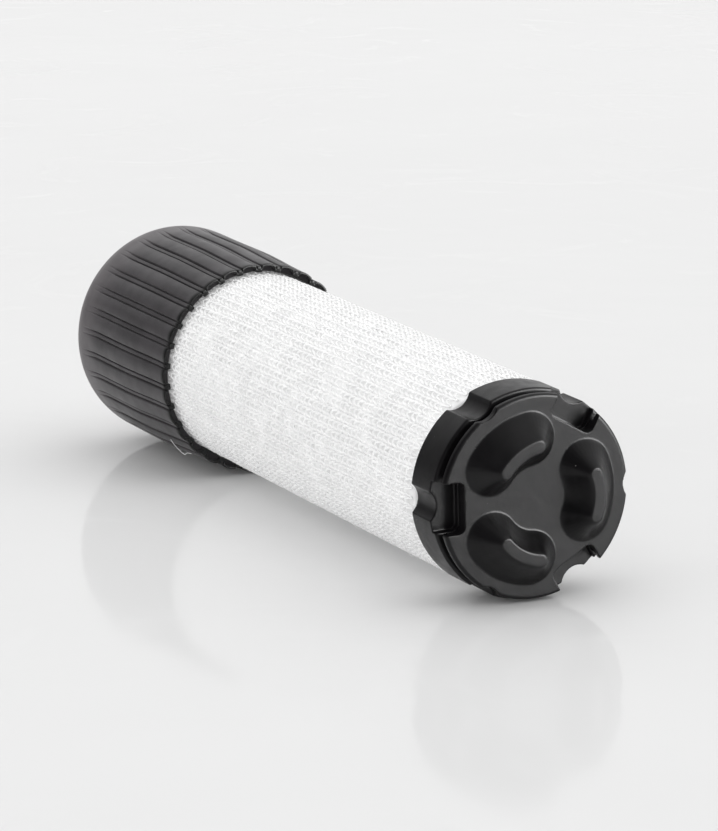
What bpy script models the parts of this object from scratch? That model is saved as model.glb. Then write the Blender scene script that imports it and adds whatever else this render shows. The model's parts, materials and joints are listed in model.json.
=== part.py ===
"""Netted carbon cartridge for a caravan's in-line water filter, lying on a table.

The cartridge's axis is the local X axis: the front plate faces +X and the ribbed cap is at -X. Places along
the axis are depths, measured from the front plate's flat face towards the ribbed cap. Sizes are in metres.
"""

import math

import bmesh
import bpy
from mathutils import Vector

MM = 0.001
GAP = 0.3 * MM                    # clearance between pieces that touch

# ---- driving dimensions -------------------------------------------------------------------------------
CARTRIDGE_LENGTH = 171.0 * MM     # front plate's face to the rear end cap's back
END_CAP_R = 22.6 * MM             # outside of the front collar and of the rear end cap
PLATE_SETBACK = 0.6 * MM          # how far the front plate's rim stays inside the collar's outside
SLEEVE_SETBACK = 0.2 * MM         # and how far the knitted sleeve does

PLATE_RIM_T = 1.6 * MM            # plate thickness at its rim
RIM_GROOVE_W = 1.6 * MM           # open groove between the plate's rim and the collar
RIM_GROOVE_D = 1.6 * MM           # how far that groove runs inwards
PLATE_EDGE = 0.7 * MM             # rounding of the plate's front edge
HUB_WALL = 3.2 * MM               # wall of the plate's hub, which turns in the collar
COLLAR_LENGTH = 9.8 * MM
COLLAR_EDGE = 0.4 * MM            # bevel of the collar's outer edges
COLLAR_WEB_T = 4.8 * MM           # thick front part of the collar
LUG_T = 1.6 * MM                  # bayonet lugs, along the axis
LUG_REACH = 1.7 * MM
LUG_MARGIN = 2.6 * MM             # room between the lugs and the cage's bore
LUG_HALF_ANGLE = math.radians(12)
LUG_GAP_PLAY = math.radians(2)    # a lug's gap is this much wider on each side
PLATE_TURN = math.radians(40)     # from locked to free

GRIP_HEIGHT = 5.5 * MM            # raised finger grips on the plate
GRIP_BASE = (12.8 * MM, 5.8 * MM, math.radians(24))     # centre line radius, half width, half angle
GRIP_TOP = (12.3 * MM, 1.3 * MM, math.radians(21.5))

POCKET_FLOOR = 4.6 * MM           # depth of the pockets in the rim
POCKET_WALL = 2.6 * MM            # collar wall between a pocket and the bore
POCKET_HALF_W = 5.5 * MM
POCKET_CORNER = 1.5 * MM
SCALLOP_R = 4.0 * MM              # round flutes along the front rim
SCALLOP_DEPTH = 1.7 * MM          # how far a flute reaches into the collar
FRONT_CLOCKING = math.radians(2)  # how far the front pieces are turned about the axis

END_CAP_WALL = 2.8 * MM           # socket wall around the cage
END_CAP_FLOOR = 4.0 * MM
END_CAP_SOCKET = 5.0 * MM
END_CAP_EDGE = 0.5 * MM           # bevel of the rear end cap's edges
OUTLET_R = 6.0 * MM
SPIGOT_WALL = 3.0 * MM
SPIGOT_LENGTH = 14.0 * MM
O_RING_R = 0.75 * MM              # half the cord thickness of the spigot's two O-rings
O_RING_PROUD = 0.5 * MM           # how far they stand out of the spigot
O_RING_PLAY = 0.1 * MM            # room under an O-ring in its groove
O_RING_SHARES = (0.27, 0.63)      # their places along the spigot
PLATE_RING_R = 0.675 * MM         # half the cord thickness of the plate's O-ring

CAGE_WALL = 1.5 * MM
CORE_R = 7.5 * MM
CORE_WALL = 1.5 * MM
FLEECE_T = 1.5 * MM               # white outer fleece
SLEEVE_T = 0.8 * MM
FINES_FLEECE_T = 1.2 * MM
FOAM_T = 3.5 * MM
BOND_T = 1.2 * MM

CAP_GROOVE_WALL = 1.75 * MM       # cap wall under a groove
CAP_GROOVE_DEPTH = 0.75 * MM
CAP_WALL = 1.2 * MM               # cap wall under the top of a rib
CAP_CLEARANCE = 0.4 * MM          # between the cap's inner valleys and the rear end cap
CAP_OVERLAP = 37.0 * MM           # how far the cap's rim reaches over the cartridge
CAP_DOME = 11.5 * MM              # axial length of the rounded end
DOME_BULGE = 2.3                  # 2 is an ellipse, and more is squarer
CAP_FLAT_R = 10.0 * MM            # flat at the very end
CAP_END_T = 2.5 * MM
CAP_SEAL_T = 1.3 * MM             # washer that closes the outlet
PLUG_FLOOR_T = 1.3 * MM
PLUG_WALL = 3.2 * MM
PLUG_CLEARANCE = 0.8 * MM         # round the spigot
PLUG_STANDOFF = 2.5 * MM          # open edge of the plug to the rear end cap
PLUG_SOCKET_WALL = 1.7 * MM       # the cap's ring that holds the plug
PLUG_SOCKET_LENGTH = 9.5 * MM
HOLLOW_SETBACK = 2.0 * MM         # hollows behind the ribs end this far before the dome
RIBS = 30

SEAT_SETBACK = 1.0 * MM           # valve seat behind the rear end cap's inner face
SEAT_T = 2.0 * MM
SEAT_LIP = 2.4 * MM               # width of the seat
VALVE_SEAL_T = 0.8 * MM
POPPET_T = 1.2 * MM
POPPET_PASSAGE = 1.5 * MM         # water's way round the poppet
POPPET_TRAVEL = 2.2 * MM
STEM_R = 1.2 * MM
STEM_NOSE = 1.4 * MM              # how far the stem reaches into the seat
RETAINER_T = 2.0 * MM
RETAINER_DEPTH = 6.0 * MM         # its front, from the spigot's end
RETAINER_WINDOW_R = 1.2 * MM
SPRING_WIRE_R = 0.3 * MM
SPRING_COIL_R = 2.6 * MM
SPRING_TURNS = 4.5

SIDES = 72                        # facets round the large turned pieces
INNER_SIDES = 32                  # facets round the small ones

# ---- places along the axis, as depths -----------------------------------------------------------------
COLLAR_FRONT = PLATE_RIM_T + RIM_GROOVE_W
PLATE_RING_DEPTH = COLLAR_FRONT + 0.4 * COLLAR_WEB_T    # middle of the plate's O-ring
COLLAR_WEB_BACK = COLLAR_FRONT + COLLAR_WEB_T
COLLAR_BACK = COLLAR_FRONT + COLLAR_LENGTH
LUG_FRONT = COLLAR_WEB_BACK + GAP
HUB_BACK = LUG_FRONT + LUG_T
REAR_FLOOR = CARTRIDGE_LENGTH - END_CAP_FLOOR           # inner face of the rear end cap
REAR_LIP = REAR_FLOOR - END_CAP_SOCKET
SPIGOT_END = CARTRIDGE_LENGTH + SPIGOT_LENGTH
CAP_RIM = CARTRIDGE_LENGTH - CAP_OVERLAP
PLUG_FLOOR = SPIGOT_END + GAP + CAP_SEAL_T + GAP
PLUG_BACK = PLUG_FLOOR + PLUG_FLOOR_T
CAP_INSIDE_END = PLUG_BACK + GAP
CAP_END = CAP_INSIDE_END + CAP_END_T

# ---- radii that follow from the ones above --------------------------------------------------------------
PLATE_R = END_CAP_R - PLATE_SETBACK
SLEEVE_R = END_CAP_R - SLEEVE_SETBACK
SOCKET_R = END_CAP_R - END_CAP_WALL
CAGE_R = SOCKET_R - GAP
CAGE_BORE = CAGE_R - CAGE_WALL
FLEECE_BORE = CAGE_R + GAP
SLEEVE_BORE = SLEEVE_R - SLEEVE_T
FLEECE_R = min(FLEECE_BORE + FLEECE_T, SLEEVE_BORE - GAP)
HUB_R = CAGE_BORE - LUG_MARGIN - LUG_REACH
COLLAR_BORE = HUB_R + GAP
PLATE_RING_FLOOR_R = HUB_R - 2 * O_RING_R
POCKET_INNER_R = COLLAR_BORE + POCKET_WALL
BED_R = CAGE_BORE - GAP
FINES_FLEECE_BORE = CORE_R + GAP
FINES_FLEECE_R = FINES_FLEECE_BORE + FINES_FLEECE_T
BED_BORE = FINES_FLEECE_R + GAP
SPIGOT_R = OUTLET_R + SPIGOT_WALL
O_RING_FLOOR_R = SPIGOT_R + O_RING_PROUD - 2 * O_RING_R - O_RING_PLAY
PLUG_BORE = SPIGOT_R + PLUG_CLEARANCE
PLUG_R = PLUG_BORE + PLUG_WALL
PLUG_SOCKET_BORE = PLUG_R + GAP
PLUG_SOCKET_R = PLUG_SOCKET_BORE + PLUG_SOCKET_WALL
CAP_BORE = END_CAP_R + CAP_CLEARANCE
CAP_GROOVE_R = CAP_BORE + CAP_GROOVE_WALL
CAP_CREST_R = CAP_GROOVE_R + CAP_GROOVE_DEPTH
CAP_HOLLOW = CAP_CREST_R - CAP_WALL                      # inner wall behind a rib
SCALLOP_CENTRE = END_CAP_R - SCALLOP_DEPTH + SCALLOP_R


# ---- helpers -------------------------------------------------------------------------------------------
def material(name, colour, roughness, metallic=0.0):
    """A plain Principled material."""
    made = bpy.data.materials.new(name)
    made.use_nodes = True
    shader = made.node_tree.nodes["Principled BSDF"]
    shader.inputs["Base Color"].default_value = (*colour, 1.0)
    shader.inputs["Roughness"].default_value = roughness
    shader.inputs["Metallic"].default_value = metallic
    return made


def point(depth, radius, angle):
    """A point at a depth and a radius, turned about the axis; angle 0 is +Y and 90 degrees is +Z."""
    return Vector((-depth, radius * math.cos(angle), radius * math.sin(angle)))


def add(name, bm, finish, frame, closed=True):
    """Turn a bmesh into a named object under the cartridge's frame."""
    if closed:
        bmesh.ops.recalc_face_normals(bm, faces=bm.faces)
    mesh = bpy.data.meshes.new(name)
    bm.to_mesh(mesh)
    bm.free()
    mesh.shade_smooth()
    mesh.set_sharp_from_angle(angle=math.radians(30))
    if finish:
        mesh.materials.append(finish)
    made = bpy.data.objects.new(name, mesh)
    bpy.context.collection.objects.link(made)
    made.parent = frame
    return made


def hide(cutter):
    """Mark an object as a tool for Boolean modifiers."""
    cutter.hide_render = True
    cutter.display_type = "WIRE"
    return cutter


def boolean(target, tool, operation):
    """Add a Boolean modifier."""
    step = target.modifiers.new(tool.name, "BOOLEAN")
    step.object = tool
    step.operation = operation
    step.solver = "EXACT"


def turned(name, outline, finish, frame, sides=SIDES, closed=True):
    """Spin an outline of (depth, radius) points about the axis; an open one starts and ends on the axis."""
    bm = bmesh.new()
    verts = [bm.verts.new(point(depth, radius, 0.0)) for depth, radius in outline]
    edges = [bm.edges.new(pair) for pair in zip(verts, verts[1:])]
    if closed:
        edges.append(bm.edges.new((verts[-1], verts[0])))
    bmesh.ops.spin(bm, geom=verts + edges, axis=(1, 0, 0), cent=(0, 0, 0), angle=math.tau,
                   steps=sides, use_merge=True)
    bmesh.ops.remove_doubles(bm, verts=bm.verts, dist=1e-7)
    bmesh.ops.dissolve_degenerate(bm, edges=bm.edges, dist=1e-8)
    return add(name, bm, finish, frame)


def ring(name, front, back, inner, outer, finish, frame, sides=SIDES):
    """A plain ring between two depths and two radii."""
    outline = [(front, inner), (front, outer), (back, outer), (back, inner)]
    return turned(name, outline, finish, frame, sides)


def loft(bm, rings, wrap=False):
    """Join rings of points into one closed skin: capped at both ends, or wrapped round to the first ring."""
    loops = [[bm.verts.new(place) for place in places] for places in rings]
    count = len(loops[0])
    pairs = list(zip(loops, loops[1:]))
    if wrap:
        pairs.append((loops[-1], loops[0]))
    else:
        bm.faces.new(loops[0])
        bm.faces.new(loops[-1])
    for first, second in pairs:
        for i in range(count):
            j = (i + 1) % count
            bm.faces.new((first[i], first[j], second[j], second[i]))


def prism(bm, outline, front, back):
    """Extrude a closed outline of (y, z) points from one depth to another."""
    loft(bm, [[Vector((-depth, y, z)) for y, z in outline] for depth in (front, back)])


def arc(centre, radius, start, end, steps):
    """Points (y, z) on an arc."""
    angles = [start + (end - start) * i / steps for i in range(steps + 1)]
    return [(centre[0] + radius * math.cos(a), centre[1] + radius * math.sin(a)) for a in angles]


def sector(inner, outer, middle, half_angle, steps=4):
    """Outline of a ring sector about the axis."""
    outside = arc((0, 0), outer, middle - half_angle, middle + half_angle, steps)
    inside = arc((0, 0), inner, middle + half_angle, middle - half_angle, steps)
    return outside + inside


def torus(name, depth, centre_r, wire_r, finish, frame, sides=24, wire_sides=6):
    """An O-ring."""
    outline = arc((depth, centre_r), wire_r, 0.0, math.tau * (1 - 1 / wire_sides), wire_sides - 1)
    return turned(name, outline, finish, frame, sides)


def perforated_tube(name, front, back, outer, wall, columns, rows, finish, frame, closed_front=False):
    """A tube whose wall has a rectangular window in every second cell of every second row."""
    bm = bmesh.new()
    step = (back - front) / rows
    grid = [[bm.verts.new(point(front + step * j, outer, math.tau * i / columns)) for i in range(columns)]
            for j in range(rows + 1)]
    for j in range(rows):
        for i in range(columns):
            if i % 2 == 0 and j % 2 == 1:
                continue
            k = (i + 1) % columns
            bm.faces.new((grid[j][i], grid[j][k], grid[j + 1][k], grid[j + 1][i]))
    if closed_front:
        bm.faces.new(list(reversed(grid[0])))
    bmesh.ops.recalc_face_normals(bm, faces=bm.faces)
    outwards = sum((face.calc_center_median() * Vector((0, 1, 1))).dot(face.normal) for face in bm.faces)
    if outwards < 0:
        bmesh.ops.reverse_faces(bm, faces=bm.faces)
    tube = add(name, bm, finish, frame, closed=False)
    shell = tube.modifiers.new("wall", "SOLIDIFY")
    shell.thickness = wall
    shell.offset = -1.0
    shell.use_even_offset = True
    return tube


# ---- front end -----------------------------------------------------------------------------------------
def grip_ring(depth, centre_r, half_width, half_angle, middle, bend_steps=6, end_steps=6):
    """One level of a finger grip: a strip that is bent round the axis and has round ends."""
    outer = arc((0, 0), centre_r + half_width, middle - half_angle, middle + half_angle, bend_steps)
    far = (centre_r * math.cos(middle + half_angle), centre_r * math.sin(middle + half_angle))
    near = (centre_r * math.cos(middle - half_angle), centre_r * math.sin(middle - half_angle))
    turn = middle + half_angle
    far_end = arc(far, half_width, turn, turn + math.pi, end_steps)[1:-1]
    inner = arc((0, 0), centre_r - half_width, middle + half_angle, middle - half_angle, bend_steps)
    turn = middle - half_angle + math.pi
    near_end = arc(near, half_width, turn, turn + math.pi, end_steps)[1:-1]
    return [Vector((-depth, y, z)) for y, z in outer + far_end + inner + near_end]


def grip_levels():
    """Heights and sizes of a grip's levels, from inside the plate to its crest."""
    slope = [(0.0, 0.0), (0.3, 0.34), (0.62, 0.64), (0.88, 0.86), (1.0, 1.0)]
    levels = [(PLATE_RIM_T, *GRIP_BASE)]
    for rise, share in slope:
        size = [base + (top - base) * share for base, top in zip(GRIP_BASE, GRIP_TOP)]
        levels.append((-GRIP_HEIGHT * rise, *size))
    return levels


def finger_grips(frame):
    """The three raised grips, joined to the plate later."""
    bm = bmesh.new()
    for i in range(3):
        middle = FRONT_CLOCKING + math.tau * i / 3
        loft(bm, [grip_ring(*level, middle) for level in grip_levels()])
    return hide(add("grip_form", bm, None, frame))


def pocket_cutters(frame):
    """Three rounded windows in the rim, between the grips."""
    bm = bmesh.new()
    for i in range(3):
        turn = FRONT_CLOCKING + math.tau * (i + 0.5) / 3
        side = POCKET_HALF_W - POCKET_CORNER
        deep = POCKET_INNER_R + POCKET_CORNER
        corner_a = arc((deep, side), POCKET_CORNER, math.pi / 2, math.pi, 4)
        corner_b = arc((deep, -side), POCKET_CORNER, math.pi, math.pi * 1.5, 4)
        outer = END_CAP_R + MM
        flat = [(outer, POCKET_HALF_W), *corner_a, *corner_b, (outer, -POCKET_HALF_W)]
        cos, sin = math.cos(turn), math.sin(turn)
        outline = [(u * cos - v * sin, u * sin + v * cos) for u, v in flat]
        prism(bm, outline, -MM, POCKET_FLOOR)
    return hide(add("pocket_form", bm, None, frame))


def scallop_cutters(frame):
    """Six round flutes along the front rim."""
    bm = bmesh.new()
    for i in range(6):
        turn = FRONT_CLOCKING + math.tau * i / 6
        centre = (SCALLOP_CENTRE * math.cos(turn), SCALLOP_CENTRE * math.sin(turn))
        outline = arc(centre, SCALLOP_R, turn, turn + math.tau * 15 / 16, 15)
        prism(bm, outline, -MM, COLLAR_BACK + MM)
    return hide(add("scallop_form", bm, None, frame))


def lug_form(frame, name, inner, outer, front, back, offset, half_angle):
    """Three ring sectors, as bayonet lugs or as the gaps that let them through."""
    bm = bmesh.new()
    for i in range(3):
        outline = sector(inner, outer, FRONT_CLOCKING + offset + math.tau * i / 3, half_angle)
        prism(bm, outline, front, back)
    return hide(add(name, bm, None, frame))


def front_plate(frame, finish, grips, pockets, scallops):
    """The round plate with its rim, its seal groove, its hub and its bayonet lugs."""
    shoulder = COLLAR_FRONT - GAP
    edge = 0.3 * PLATE_EDGE
    ring_half = O_RING_R + O_RING_PLAY
    outline = [
        (0, 0), (0, PLATE_R - PLATE_EDGE), (edge, PLATE_R - edge),
        (PLATE_EDGE, PLATE_R), (PLATE_RIM_T, PLATE_R),
        (PLATE_RIM_T, PLATE_R - RIM_GROOVE_D), (shoulder, PLATE_R - RIM_GROOVE_D), (shoulder, HUB_R),
        (PLATE_RING_DEPTH - ring_half, HUB_R), (PLATE_RING_DEPTH - ring_half, PLATE_RING_FLOOR_R),
        (PLATE_RING_DEPTH + ring_half, PLATE_RING_FLOOR_R), (PLATE_RING_DEPTH + ring_half, HUB_R),
        (HUB_BACK, HUB_R), (HUB_BACK, HUB_R - HUB_WALL),
        (shoulder, HUB_R - HUB_WALL), (shoulder, 0),
    ]
    plate = turned("front_plate", outline, finish, frame, closed=False)
    lugs = lug_form(frame, "plate_lug_form", HUB_R - HUB_WALL / 2, HUB_R + LUG_REACH, LUG_FRONT, HUB_BACK,
                    0.0, LUG_HALF_ANGLE)
    boolean(plate, pockets, "DIFFERENCE")
    boolean(plate, scallops, "DIFFERENCE")
    boolean(plate, grips, "UNION")
    boolean(plate, lugs, "UNION")


def front_collar(frame, finish, pockets, scallops):
    """The fluted ring that holds the cage and in which the plate turns."""
    edge = END_CAP_R - COLLAR_EDGE
    outline = [
        (COLLAR_FRONT, COLLAR_BORE), (COLLAR_FRONT, edge), (COLLAR_FRONT + COLLAR_EDGE, END_CAP_R),
        (COLLAR_BACK - COLLAR_EDGE, END_CAP_R), (COLLAR_BACK, edge), (COLLAR_BACK, SOCKET_R),
        (COLLAR_WEB_BACK, SOCKET_R), (COLLAR_WEB_BACK, COLLAR_BORE),
    ]
    collar = turned("front_collar", outline, finish, frame)
    reach = HUB_R + LUG_REACH + GAP
    gaps = lug_form(frame, "lug_gap_form", COLLAR_BORE - MM, reach, COLLAR_FRONT - MM, COLLAR_WEB_BACK + MM,
                    PLATE_TURN, LUG_HALF_ANGLE + LUG_GAP_PLAY)
    boolean(collar, pockets, "DIFFERENCE")
    boolean(collar, scallops, "DIFFERENCE")
    boolean(collar, gaps, "DIFFERENCE")


# ---- cartridge body ------------------------------------------------------------------------------------
def cartridge_body(frame, finishes):
    """Core, fleeces, carbon, cage and knitted sleeve, from the inside out."""
    cage_front = COLLAR_WEB_BACK + GAP + BOND_T + GAP
    cage_back = REAR_FLOOR - GAP - BOND_T - GAP
    foam_front = HUB_BACK + GAP
    bed_front = foam_front + FOAM_T + GAP
    bed_back = REAR_FLOOR - GAP - FOAM_T - GAP
    perforated_tube("core_tube", foam_front, REAR_FLOOR - GAP, CORE_R, CORE_WALL, 12, 17,
                    finishes["carrier"], frame, closed_front=True)
    ring("fines_fleece", bed_front, bed_back, FINES_FLEECE_BORE, FINES_FLEECE_R, finishes["fleece"], frame,
         INNER_SIDES)
    ring("carbon_bed", bed_front, bed_back, BED_BORE, BED_R, finishes["carbon"], frame, INNER_SIDES)
    ring("front_foam", foam_front, bed_front - GAP, FINES_FLEECE_BORE, BED_R, finishes["foam"], frame,
         INNER_SIDES)
    ring("rear_foam", bed_back + GAP, REAR_FLOOR - GAP, FINES_FLEECE_BORE, BED_R, finishes["foam"], frame,
         INNER_SIDES)
    perforated_tube("outer_cage", cage_front, cage_back, CAGE_R, CAGE_WALL, 24, 13, finishes["carrier"],
                    frame)
    ring("front_bond_ring", COLLAR_WEB_BACK + GAP, cage_front - GAP, CAGE_BORE, CAGE_R, finishes["seal"],
         frame, INNER_SIDES)
    ring("rear_bond_ring", cage_back + GAP, REAR_FLOOR - GAP, CAGE_BORE, CAGE_R, finishes["seal"], frame,
         INNER_SIDES)
    ring("prefilter_fleece", COLLAR_BACK + GAP, REAR_LIP - GAP, FLEECE_BORE, FLEECE_R, finishes["fleece"],
         frame, 48)
    ring("net_sleeve", COLLAR_BACK + GAP, REAR_LIP - GAP, SLEEVE_BORE, SLEEVE_R, finishes["net"], frame)


# ---- rear end ------------------------------------------------------------------------------------------
def rear_end_cap(frame, finishes):
    """The end cap with its outlet spigot, and the two O-rings in the spigot's grooves."""
    half = O_RING_R + O_RING_PLAY / 2
    ring_depths = [CARTRIDGE_LENGTH + SPIGOT_LENGTH * share for share in O_RING_SHARES]
    edge = END_CAP_EDGE
    grooves = []
    for depth in ring_depths:
        grooves += [(depth - half, SPIGOT_R), (depth - half, O_RING_FLOOR_R),
                    (depth + half, O_RING_FLOOR_R), (depth + half, SPIGOT_R)]
    outline = [
        (REAR_LIP, SOCKET_R), (REAR_LIP, END_CAP_R - edge), (REAR_LIP + edge, END_CAP_R),
        (CARTRIDGE_LENGTH - edge, END_CAP_R), (CARTRIDGE_LENGTH, END_CAP_R - edge),
        (CARTRIDGE_LENGTH, SPIGOT_R), *grooves, (SPIGOT_END - edge, SPIGOT_R), (SPIGOT_END, SPIGOT_R - edge),
        (SPIGOT_END, OUTLET_R), (REAR_FLOOR, OUTLET_R), (REAR_FLOOR, SOCKET_R),
    ]
    turned("rear_end_cap", outline, finishes["carrier"], frame, 36)
    for name, depth in zip(("spigot_o_ring_front", "spigot_o_ring_rear"), ring_depths):
        torus(name, depth, O_RING_FLOOR_R + O_RING_R + O_RING_PLAY, O_RING_R, finishes["seal"], frame)


def outlet_valve(frame, finishes):
    """The non-return valve inside the spigot: seat, seal, poppet, spring and retainer."""
    hole_r = STEM_R + GAP
    seat_front = REAR_FLOOR + SEAT_SETBACK
    seat_back = seat_front + SEAT_T
    seal_front = seat_back + GAP
    seal_back = seal_front + VALVE_SEAL_T
    disc_front = seal_back + GAP
    disc_back = disc_front + POPPET_T
    disc_r = OUTLET_R - POPPET_PASSAGE
    nose = seat_back - STEM_NOSE
    retainer_front = SPIGOT_END - RETAINER_DEPTH
    retainer_back = retainer_front + RETAINER_T
    stem_back = SPIGOT_END - POPPET_TRAVEL - GAP
    ring("valve_seat", seat_front, seat_back, OUTLET_R - SEAT_LIP, OUTLET_R - GAP, finishes["carrier"],
         frame, INNER_SIDES)
    ring("valve_seal", seal_front, seal_back, hole_r, disc_r, finishes["seal"], frame, INNER_SIDES)
    outline = [(nose, 0), (nose, STEM_R), (disc_front, STEM_R), (disc_front, disc_r), (disc_back, disc_r),
               (disc_back, STEM_R), (stem_back, STEM_R), (stem_back, 0)]
    turned("valve_poppet", outline, finishes["carrier"], frame, INNER_SIDES, closed=False)
    valve_spring(disc_back + GAP + SPRING_WIRE_R, retainer_front - GAP - SPRING_WIRE_R, finishes["steel"],
                 frame)
    retainer = ring("valve_retainer", retainer_front, retainer_back, hole_r, OUTLET_R - GAP,
                    finishes["carrier"], frame, INNER_SIDES)
    bm = bmesh.new()
    middle_r = (hole_r + OUTLET_R) / 2
    for i in range(3):
        turn = math.tau * i / 3
        centre = (middle_r * math.cos(turn), middle_r * math.sin(turn))
        prism(bm, arc(centre, RETAINER_WINDOW_R, 0.0, math.tau * 11 / 12, 11), retainer_front - MM,
              retainer_back + MM)
    boolean(retainer, hide(add("window_form", bm, None, frame)), "DIFFERENCE")


def valve_spring(start, end, finish, frame):
    """A coil of round wire between two depths of its centre line."""
    steps = int(SPRING_TURNS * 12)
    curve = bpy.data.curves.new("valve_spring", "CURVE")
    curve.dimensions = "3D"
    curve.bevel_depth = SPRING_WIRE_R
    curve.bevel_resolution = 1
    curve.use_fill_caps = True
    line = curve.splines.new("POLY")
    line.points.add(steps)
    for i in range(steps + 1):
        turn = math.tau * SPRING_TURNS * i / steps
        place = point(start + (end - start) * i / steps, SPRING_COIL_R, turn)
        line.points[i].co = (*place, 1.0)
    curve.materials.append(finish)
    spring = bpy.data.objects.new("valve_spring", curve)
    bpy.context.collection.objects.link(spring)
    spring.parent = frame


# ---- ribbed cap ----------------------------------------------------------------------------------------
# one rib pitch as (share of the pitch, share of the rib's height): the groove's floor, then the crowned land
RIB_PROFILE = ((-0.11, 0.0), (0.11, 0.0), (0.18, 0.74), (0.5, 1.0), (0.82, 0.74))


def ribbed_ring(depth, groove_r, crest_r):
    """One ring of the cap's wall: a groove, then a crowned land, for each rib."""
    places = []
    for rib in range(RIBS):
        for share, rise in RIB_PROFILE:
            angle = math.pi * 1.5 + math.tau * (rib + share) / RIBS
            places.append(point(depth, groove_r + (crest_r - groove_r) * rise, angle))
    return places


def dome(front, length, wide, flat, steps):
    """Depths and radii along the rounded end, from its start to its flat."""
    last = (1 - (flat / wide) ** DOME_BULGE) ** (1 / DOME_BULGE)
    rows = []
    for i in range(1, steps + 1):
        along = last * math.sin(math.pi / 2 * i / steps)
        rows.append((front + length * along / last, wide * (1 - along ** DOME_BULGE) ** (1 / DOME_BULGE)))
    return rows


def ribbed_cap(frame, finish):
    """The soft ribbed cap, with the ring inside it that holds its plug."""
    shoulder = CAP_END - CAP_DOME
    socket_front = CAP_INSIDE_END - PLUG_SOCKET_LENGTH
    outside = [ribbed_ring(depth, CAP_GROOVE_R, CAP_CREST_R) for depth in (CAP_RIM, shoulder)]
    for i, (depth, radius) in enumerate(dome(shoulder, CAP_DOME, CAP_CREST_R, CAP_FLAT_R, 4)):
        fade = CAP_GROOVE_DEPTH * max(0.0, 1 - (i + 1) / 2)
        outside.append(ribbed_ring(depth, radius - fade, radius))
    hollow_end = shoulder - HOLLOW_SETBACK
    rings = [(CAP_INSIDE_END, 0.4 * PLUG_SOCKET_BORE), (CAP_INSIDE_END, PLUG_SOCKET_BORE),
             (socket_front, PLUG_SOCKET_BORE), (socket_front, PLUG_SOCKET_R), (CAP_INSIDE_END, PLUG_SOCKET_R),
             *reversed(dome(shoulder, CAP_INSIDE_END - shoulder, CAP_BORE, PLUG_SOCKET_R + MM, 2)),
             (shoulder, CAP_BORE)]
    inside = [ribbed_ring(depth, radius, radius) for depth, radius in rings]
    inside += [ribbed_ring(depth, CAP_BORE, CAP_HOLLOW) for depth in (hollow_end, CAP_RIM)]
    bm = bmesh.new()
    loft(bm, list(reversed(inside + outside)))
    bmesh.ops.remove_doubles(bm, verts=bm.verts, dist=1e-7)
    add("ribbed_cap", bm, finish, frame)


def plug_and_washer(frame, finishes):
    """The cap's hard plug, a cup over the spigot, and the washer in it that closes the outlet."""
    front = CARTRIDGE_LENGTH + PLUG_STANDOFF
    cup = [(PLUG_FLOOR, 0), (PLUG_FLOOR, PLUG_BORE), (front, PLUG_BORE), (front, PLUG_R), (PLUG_BACK, PLUG_R),
           (PLUG_BACK, 0)]
    turned("cap_plug", cup, finishes["carrier"], frame, INNER_SIDES, closed=False)
    washer_front, washer_back, washer_r = SPIGOT_END + GAP, PLUG_FLOOR - GAP, PLUG_BORE - GAP
    washer = [(washer_front, 0), (washer_front, washer_r), (washer_back, washer_r), (washer_back, 0)]
    turned("cap_seal", washer, finishes["seal"], frame, INNER_SIDES, closed=False)


# ---- resting place -------------------------------------------------------------------------------------
def reach_down(places):
    """How far a ring of points reaches below the axis."""
    return -min(place.z for place in places)


def resting_frame():
    """An empty that lays the cartridge down: the collar's front edge and the cap's rim touch the ground."""
    cap_reach = reach_down(ribbed_ring(CAP_RIM, CAP_GROOVE_R, CAP_CREST_R))
    collar_reach = reach_down([point(0, END_CAP_R, math.tau * i / SIDES) for i in range(SIDES)])
    edge = COLLAR_FRONT + COLLAR_EDGE
    tilt = math.asin((cap_reach - collar_reach) / (CAP_RIM - edge))
    frame = bpy.data.objects.new("cartridge_frame", None)
    bpy.context.collection.objects.link(frame)
    frame.rotation_euler = (0.0, tilt, 0.0)
    crest = grip_ring(*grip_levels()[-1], FRONT_CLOCKING + math.tau / 3)
    front_x = GRIP_HEIGHT * math.cos(tilt) + max(place.z for place in crest) * math.sin(tilt)
    rear_x = -CAP_END * math.cos(tilt) - CAP_FLAT_R * math.sin(tilt)
    height = collar_reach * math.cos(tilt) - edge * math.sin(tilt)
    frame.location = (-(front_x + rear_x) / 2, 0.0, height)
    return frame


def main():
    for old in list(bpy.data.objects):
        bpy.data.objects.remove(old, do_unlink=True)
    finishes = {
        "cap": material("black_plastic", (0.018, 0.017, 0.019), 0.38),
        "rubber": material("black_rubber", (0.035, 0.032, 0.035), 0.5),
        "carrier": material("white_plastic", (0.75, 0.76, 0.76), 0.4),
        "net": material("clear_filament", (0.9, 0.9, 0.9), 0.25),
        "fleece": material("white_fleece", (0.88, 0.88, 0.87), 0.95),
        "carbon": material("carbon", (0.02, 0.02, 0.02), 0.9),
        "foam": material("foam", (0.7, 0.7, 0.66), 0.95),
        "seal": material("seal_rubber", (0.02, 0.02, 0.02), 0.6),
        "steel": material("spring_steel", (0.6, 0.6, 0.6), 0.3, 1.0),
    }
    frame = resting_frame()
    grips, pockets, scallops = finger_grips(frame), pocket_cutters(frame), scallop_cutters(frame)
    front_plate(frame, finishes["cap"], grips, pockets, scallops)
    ring_r = PLATE_RING_FLOOR_R + PLATE_RING_R + O_RING_PLAY / 2
    torus("plate_o_ring", PLATE_RING_DEPTH, ring_r, PLATE_RING_R, finishes["seal"], frame, 36)
    front_collar(frame, finishes["cap"], pockets, scallops)
    cartridge_body(frame, finishes)
    rear_end_cap(frame, finishes)
    outlet_valve(frame, finishes)
    ribbed_cap(frame, finishes["rubber"])
    plug_and_washer(frame, finishes)
    bpy.context.view_layer.update()


main()
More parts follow.
